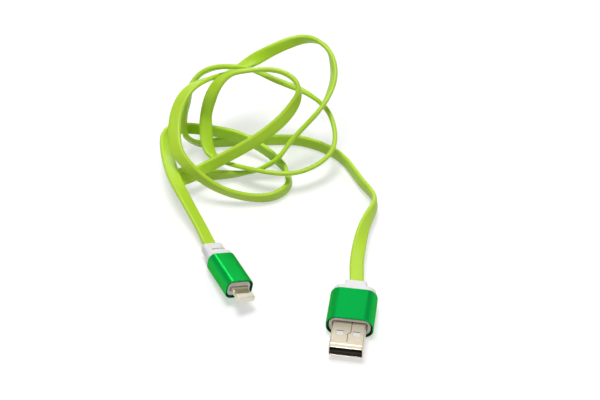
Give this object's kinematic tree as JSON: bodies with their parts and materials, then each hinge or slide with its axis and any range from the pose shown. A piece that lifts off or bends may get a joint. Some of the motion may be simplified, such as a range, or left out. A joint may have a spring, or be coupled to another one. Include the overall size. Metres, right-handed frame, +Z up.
{
  "type": "charging cable",
  "caption": "Flat charging cable lying in a loose tangle, with a type-A charger plug at one end and a small reversible phone plug at the other.",
  "frame": {"origin": "on the table, under the middle of the charger plug's sleeve, where the sleeve lies flat", "axes": "+Z up from the table; -Y along the charger plug, towards its mouth; +X across that plug"},
  "size_m": [0.0936, 0.1309, 0.041],
  "materials": {
    "shell_steel": "plated, satin",
    "dark_plastic": "satin",
    "contact_gold": "gold plated",
    "green_sleeve": "glossy anodised",
    "white_plastic": "satin",
    "tin": "satin",
    "tip_metal": "bright plated",
    "tip_insulator": "satin",
    "white_carrier": "matte",
    "board": "lacquered board",
    "chip": "satin",
    "lime_jacket": "satin soft plastic",
    "core_red": "satin",
    "core_white": "satin",
    "core_green": "satin",
    "core_black": "satin"
  },
  "bodies": {
    "root": {"charger_shell": "shell_steel", "charger_tongue": "dark_plastic", "charger_contact_1": "contact_gold", "charger_contact_2": "contact_gold", "charger_contact_3": "contact_gold", "charger_contact_4": "contact_gold", "charger_insulator": "white_plastic", "charger_inner_mould": "white_carrier", "charger_sleeve": "green_sleeve", "charger_collar": "white_plastic", "charger_crimp": "tin", "phone_tip_frame": "tip_metal", "phone_tip_insulator": "tip_insulator", "phone_contact_top_1": "contact_gold", "phone_contact_top_2": "contact_gold", "phone_contact_top_3": "contact_gold", "phone_contact_top_4": "contact_gold", "phone_contact_top_5": "contact_gold", "phone_contact_top_6": "contact_gold", "phone_contact_top_7": "contact_gold", "phone_contact_top_8": "contact_gold", "phone_contact_base_1": "contact_gold", "phone_contact_base_2": "contact_gold", "phone_contact_base_3": "contact_gold", "phone_contact_base_4": "contact_gold", "phone_contact_base_5": "contact_gold", "phone_contact_base_6": "contact_gold", "phone_contact_base_7": "contact_gold", "phone_contact_base_8": "contact_gold", "phone_inner_mould": "white_carrier", "phone_board": "board", "phone_chip": "chip", "phone_shield": "tin", "phone_sleeve": "green_sleeve", "phone_relief": "white_plastic", "phone_crimp": "tin", "cable_jacket": "lime_jacket", "core_power": "core_red", "core_data_minus": "core_white", "core_data_plus": "core_green", "core_ground": "core_black"}
  },
  "joints": []
}
